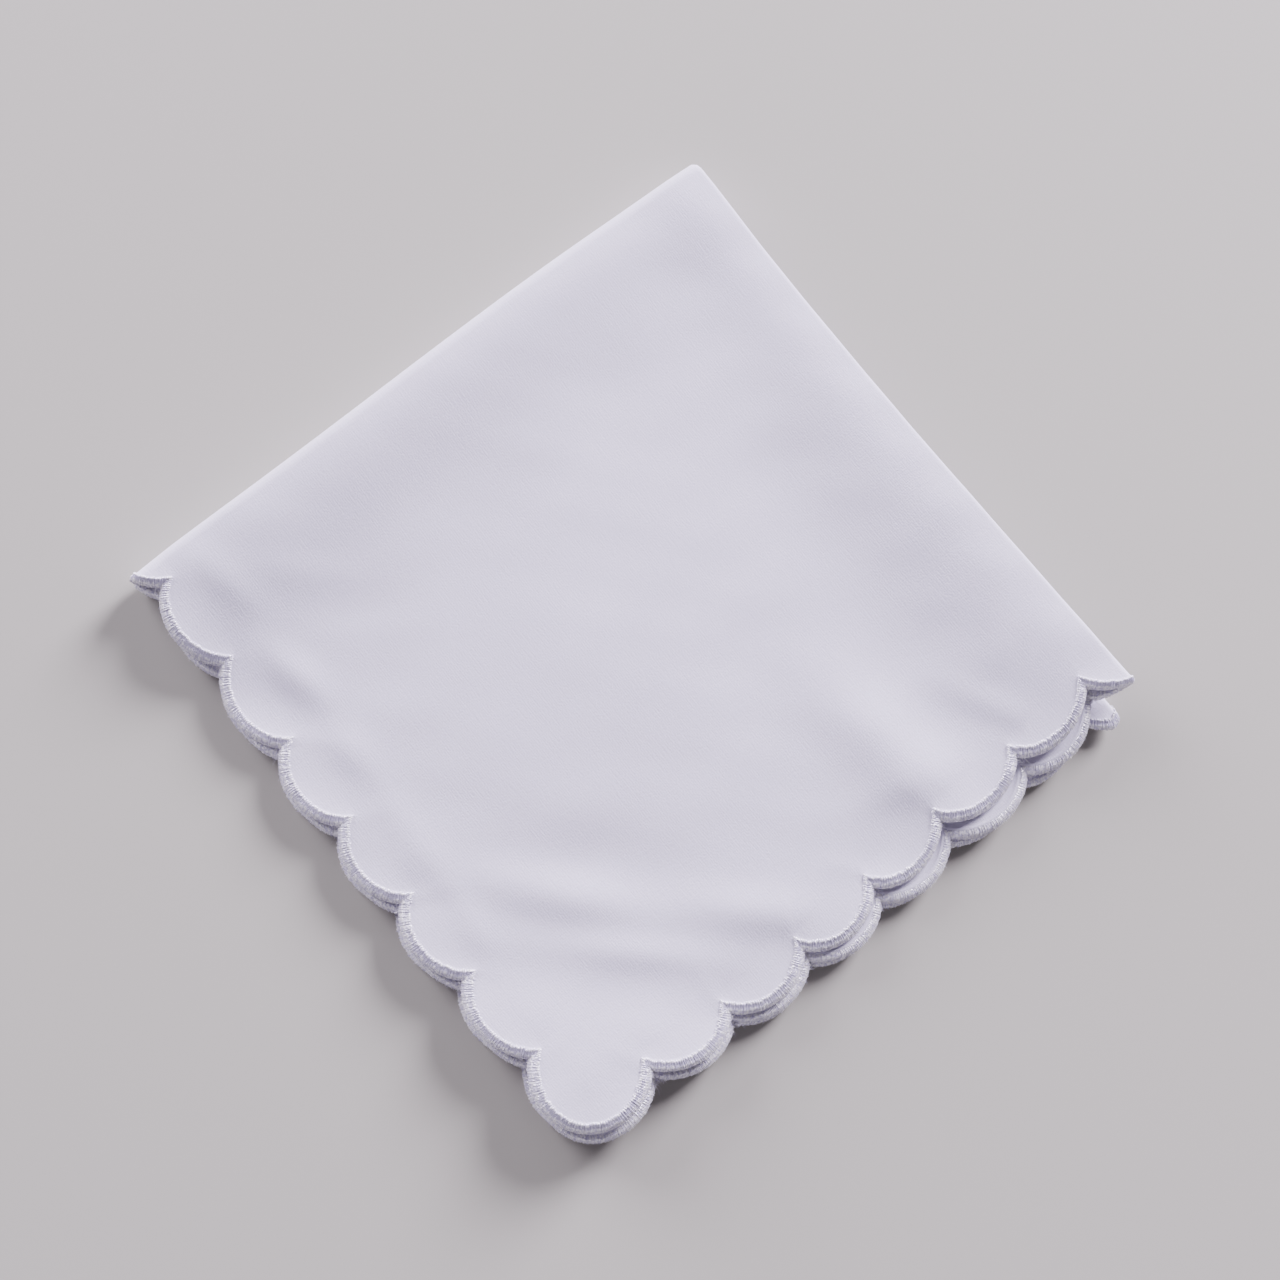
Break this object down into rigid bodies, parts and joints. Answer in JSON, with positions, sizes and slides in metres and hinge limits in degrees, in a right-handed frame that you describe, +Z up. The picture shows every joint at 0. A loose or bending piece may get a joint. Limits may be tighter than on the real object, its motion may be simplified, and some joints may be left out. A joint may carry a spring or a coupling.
{
  "type": "handkerchief, folded in quarters",
  "caption": "White cotton handkerchief with a satin-stitched scalloped edge and rounded corner lobes, folded in quarters and lying as a diamond.",
  "frame": {"origin": "on the surface that it lies on, below the middle of the folded handkerchief", "axes": "+Z up through the layers; +Y from the free front lobe to the far folded corner; +X to the tip where the stacked fold ends"},
  "size_m": [0.2106, 0.2079, 0.009],
  "materials": {
    "white_cotton": "fine plain weave, matt, with a glossier satin-stitched border in white thread"
  },
  "bodies": {
    "root": {"cloth": "white_cotton"}
  },
  "joints": []
}
